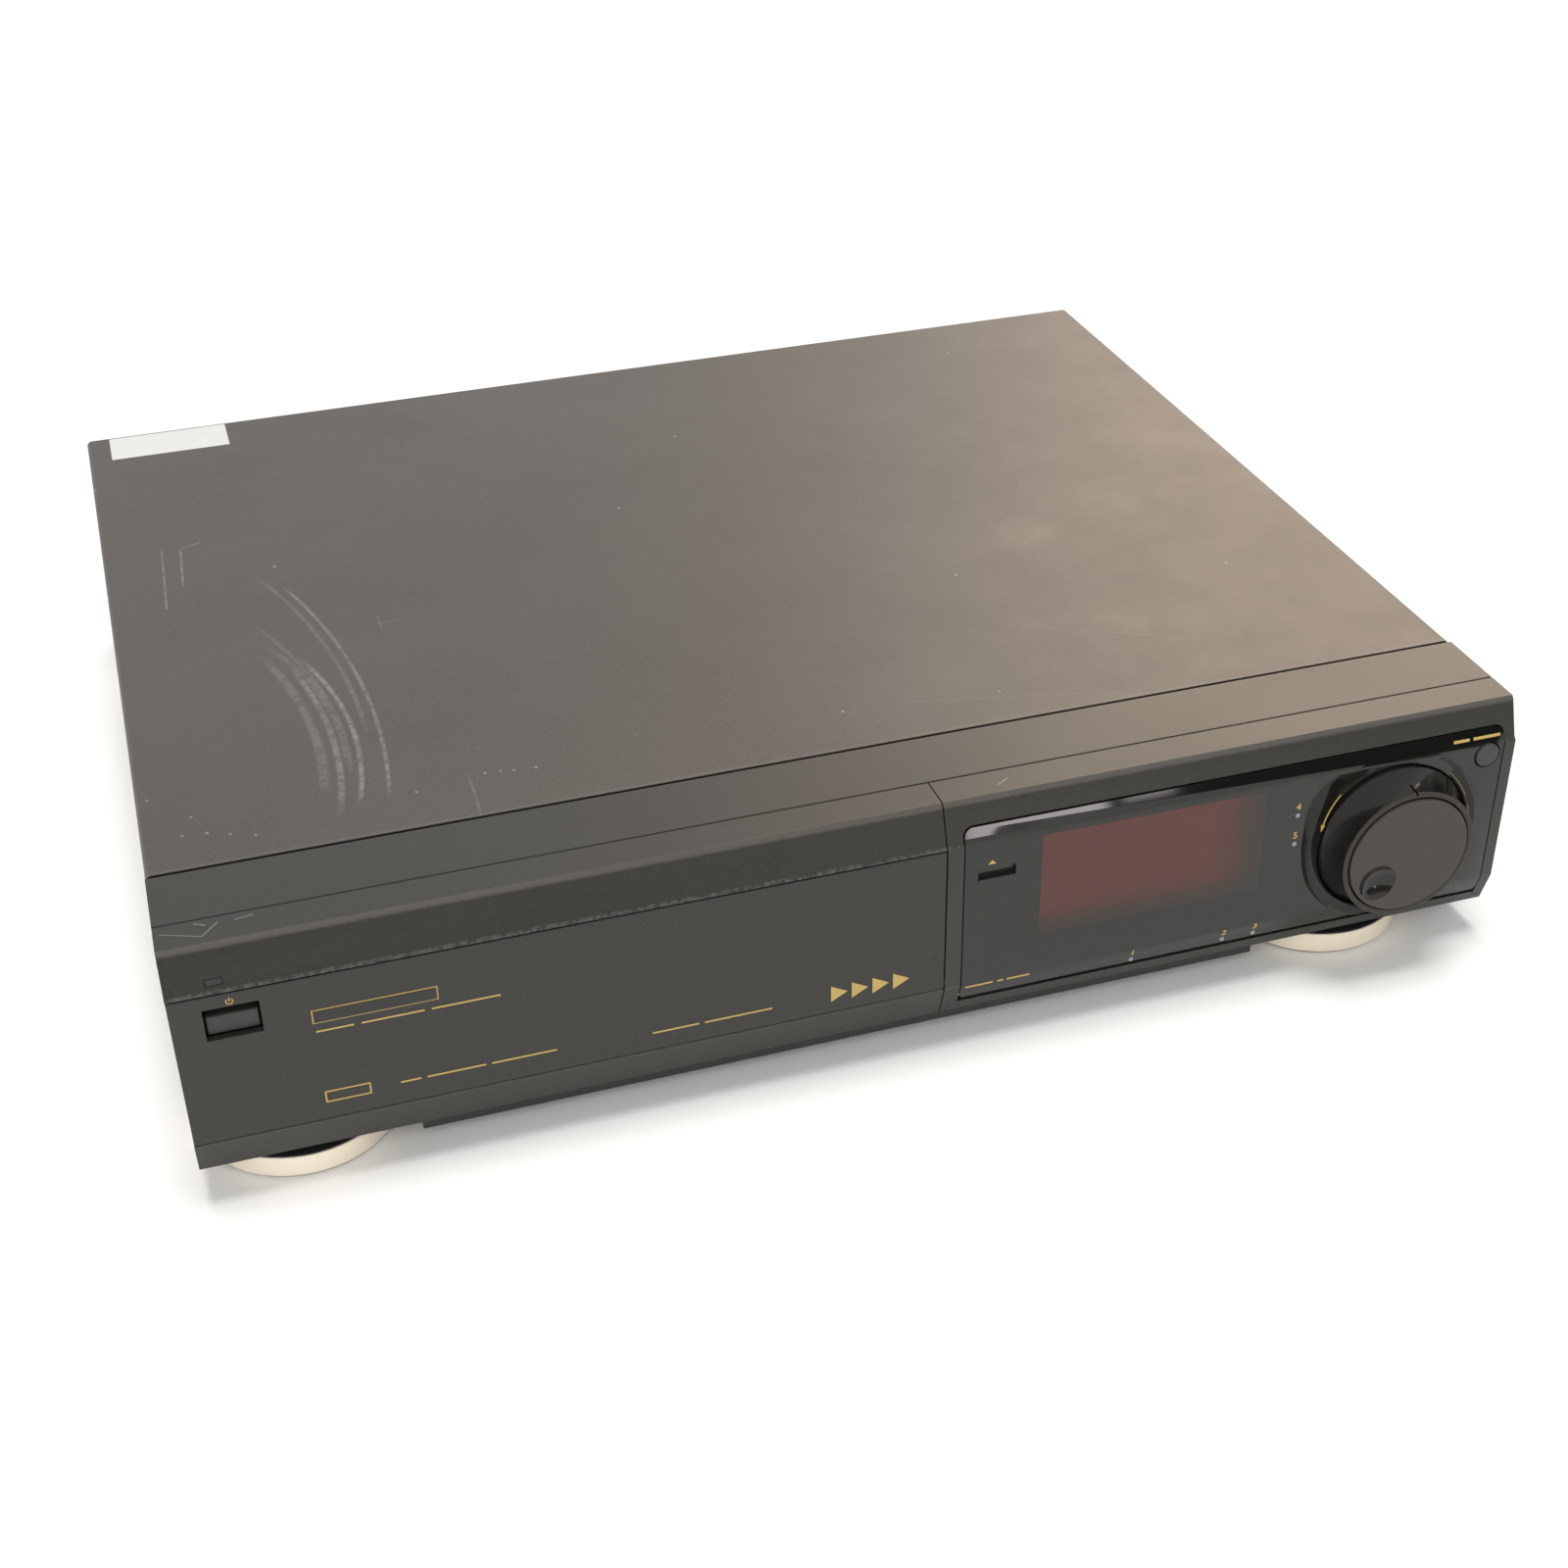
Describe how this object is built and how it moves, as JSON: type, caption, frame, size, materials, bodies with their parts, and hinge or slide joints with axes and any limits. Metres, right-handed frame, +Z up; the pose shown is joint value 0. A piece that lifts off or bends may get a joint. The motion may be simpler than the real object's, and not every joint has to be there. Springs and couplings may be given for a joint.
{
  "type": "video cassette recorder",
  "caption": "Front-loading video cassette recorder with a fold-down slot flap, a gloss control door, a jog dial in a shuttle ring and round cream feet.",
  "frame": {"origin": "floor level, under the middle of the whole object's length and depth", "axes": "+X to the right seen from the front, +Y from the front to the back, +Z up"},
  "size_m": [0.4332, 0.3858, 0.091],
  "materials": {
    "cover_paint": "satin, fine grain",
    "rear_paint": "satin",
    "plated_steel": "zinc plated",
    "front_plastic": "fine matte grain",
    "lens_dark": "gloss",
    "pin_steel": "ground",
    "well_plastic": "matte",
    "board_green": "satin",
    "display_tube": "gloss",
    "socket_black": "matte",
    "socket_plated": "plated",
    "screw_black": "black oxide",
    "foot_core": "matte",
    "foot_cream": "satin",
    "foot_rubber": "matte",
    "drum_aluminium": "turned",
    "bearing_brass": "turned",
    "head_metal": "polished",
    "capacitor_sleeve": "gloss",
    "transformer_core": "varnished laminations",
    "door_gloss": "gloss",
    "window_red": "gloss",
    "lens_clear": "gloss",
    "ring_gloss": "gloss",
    "dial_plastic": "matte",
    "button_plastic": "satin",
    "key_plastic": "satin",
    "reel_plastic": "satin",
    "roller_rubber": "matte",
    "guide_plastic": "satin"
  },
  "bodies": {
    "chassis": {"top_cover": "cover_paint", "bottom_pan": "rear_paint", "rear_panel": "rear_paint", "fascia_frame": "front_plastic", "left_surround": "front_plastic", "right_surround": "front_plastic", "power_lens": "lens_dark", "flap_hinge_pins": "pin_steel", "door_hinge_pins": "pin_steel", "dial_base": "well_plastic", "front_board": "board_green", "display_module": "display_tube", "mains_inlet": "socket_black", "scart_sockets": "socket_black", "phono_sockets": "socket_plated", "tuner_box": "plated_steel", "case_screws": "screw_black", "foot_cores": "foot_core", "foot_rings": "foot_cream", "foot_pads": "foot_rubber", "deck_plate": "plated_steel", "deck_posts": "plated_steel", "deck_shafts": "pin_steel", "lower_drum": "drum_aluminium", "capstan_bearing": "bearing_brass", "erase_head": "head_metal", "audio_head": "head_metal", "loading_motor": "plated_steel", "carriage_plates": "plated_steel", "main_board": "board_green", "board_standoffs": "bearing_brass", "capacitors": "capacitor_sleeve", "heat_sink": "drum_aluminium", "transformer": "transformer_core"},
    "cassette_flap": {"cassette_flap": "front_plastic"},
    "control_door": {"control_door": "door_gloss", "display_window": "window_red", "indicator_lenses": "lens_clear"},
    "shuttle_ring": {"shuttle_ring": "ring_gloss"},
    "jog_dial": {"jog_dial": "dial_plastic"},
    "jog_mode_button": {"jog_mode_button": "button_plastic"},
    "power_button": {"power_button": "button_plastic"},
    "door_latch": {"door_latch": "well_plastic"},
    "function_key_1": {"function_key_1": "key_plastic"},
    "function_key_2": {"function_key_2": "key_plastic"},
    "function_key_3": {"function_key_3": "key_plastic"},
    "function_key_4": {"function_key_4": "key_plastic"},
    "level_slider_left": {"level_slider_left": "key_plastic"},
    "level_slider_right": {"level_slider_right": "key_plastic"},
    "carriage": {"carriage": "plated_steel"},
    "cassette_holder": {"cassette_holder": "plated_steel"},
    "upper_drum": {"upper_drum": "drum_aluminium"},
    "supply_reel": {"supply_reel": "reel_plastic"},
    "take_up_reel": {"take_up_reel": "reel_plastic"},
    "capstan": {"capstan": "pin_steel"},
    "pinch_arm": {"pinch_arm": "plated_steel"},
    "pinch_roller": {"pinch_roller": "roller_rubber"},
    "loading_guide_left": {"loading_guide_left": "guide_plastic"},
    "loading_guide_right": {"loading_guide_right": "guide_plastic"}
  },
  "joints": [
    {"name": "flap_hinge", "type": "hinge", "parent": "chassis", "child": "cassette_flap", "pos_m": [-0.098, -0.1783, 0.026], "axis": [1, 0, 0], "range_deg": [0, 90]},
    {"name": "door_hinge", "type": "hinge", "parent": "chassis", "child": "control_door", "pos_m": [0.1174, -0.17639, 0.01857], "axis": [1, 0, 0], "range_deg": [0, 90]},
    {"name": "shuttle_turn", "type": "hinge", "parent": "chassis", "child": "shuttle_ring", "pos_m": [0.1726, -0.1796, 0.0495], "axis": [0, 1, 0], "range_deg": [-70, 70], "stiffness_Nm_per_rad": 0.03},
    {"name": "jog_turn", "type": "hinge", "parent": "chassis", "child": "jog_dial", "pos_m": [0.1726, -0.1796, 0.0495], "axis": [0, 1, 0], "continuous": true},
    {"name": "mode_press", "type": "slide", "parent": "chassis", "child": "jog_mode_button", "axis": [0, 1, 0], "range_m": [0, 0.0015], "stiffness_N_per_m": 250},
    {"name": "power_press", "type": "slide", "parent": "chassis", "child": "power_button", "axis": [0, 1, 0], "range_m": [0, 0.002], "stiffness_N_per_m": 250},
    {"name": "latch_press", "type": "slide", "parent": "chassis", "child": "door_latch", "axis": [0, 1, 0], "range_m": [0, 0.002], "stiffness_N_per_m": 250},
    {"name": "key_1_press", "type": "slide", "parent": "chassis", "child": "function_key_1", "axis": [0, 1, 0], "range_m": [0, 0.0015], "stiffness_N_per_m": 250},
    {"name": "key_2_press", "type": "slide", "parent": "chassis", "child": "function_key_2", "axis": [0, 1, 0], "range_m": [0, 0.0015], "stiffness_N_per_m": 250},
    {"name": "key_3_press", "type": "slide", "parent": "chassis", "child": "function_key_3", "axis": [0, 1, 0], "range_m": [0, 0.0015], "stiffness_N_per_m": 250},
    {"name": "key_4_press", "type": "slide", "parent": "chassis", "child": "function_key_4", "axis": [0, 1, 0], "range_m": [0, 0.0015], "stiffness_N_per_m": 250},
    {"name": "level_left_slide", "type": "slide", "parent": "chassis", "child": "level_slider_left", "axis": [1, 0, 0], "range_m": [-0.005, 0.005]},
    {"name": "level_right_slide", "type": "slide", "parent": "chassis", "child": "level_slider_right", "axis": [1, 0, 0], "range_m": [-0.005, 0.005]},
    {"name": "carriage_slide", "type": "slide", "parent": "chassis", "child": "carriage", "axis": [0, 1, 0], "range_m": [0, 0.04]},
    {"name": "holder_lower", "type": "slide", "parent": "carriage", "child": "cassette_holder", "axis": [0, 0, -1], "range_m": [0, 0.012]},
    {"name": "drum_spin", "type": "hinge", "parent": "chassis", "child": "upper_drum", "pos_m": [-0.085, 0.0379, 0.0435], "axis": [0, 0.1038, 0.9946], "continuous": true},
    {"name": "supply_spin", "type": "hinge", "parent": "chassis", "child": "supply_reel", "pos_m": [-0.131, -0.0631, 0.036], "axis": [0, 0, 1], "continuous": true},
    {"name": "take_up_spin", "type": "hinge", "parent": "chassis", "child": "take_up_reel", "pos_m": [-0.039, -0.0631, 0.036], "axis": [0, 0, 1], "continuous": true},
    {"name": "capstan_spin", "type": "hinge", "parent": "chassis", "child": "capstan", "pos_m": [-0.023, 0.0089, 0.033], "axis": [0, 0, 1], "continuous": true},
    {"name": "pinch_swing", "type": "hinge", "parent": "chassis", "child": "pinch_arm", "pos_m": [0.005, 0.0209, 0.036], "axis": [0, 0, -1], "range_deg": [0, 24]},
    {"name": "roller_spin", "type": "hinge", "parent": "pinch_arm", "child": "pinch_roller", "pos_m": [-0.00725, 0.00196, 0.046], "axis": [0, 0, 1], "continuous": true},
    {"name": "guide_left_slide", "type": "slide", "parent": "chassis", "child": "loading_guide_left", "axis": [0, 1, 0], "range_m": [0, 0.055]},
    {"name": "guide_right_slide", "type": "slide", "parent": "chassis", "child": "loading_guide_right", "axis": [0, 1, 0], "range_m": [0, 0.055]}
  ],
  "couplings": [
    {"joint": "guide_right_slide", "follows": "guide_left_slide", "ratio": 1}
  ]
}
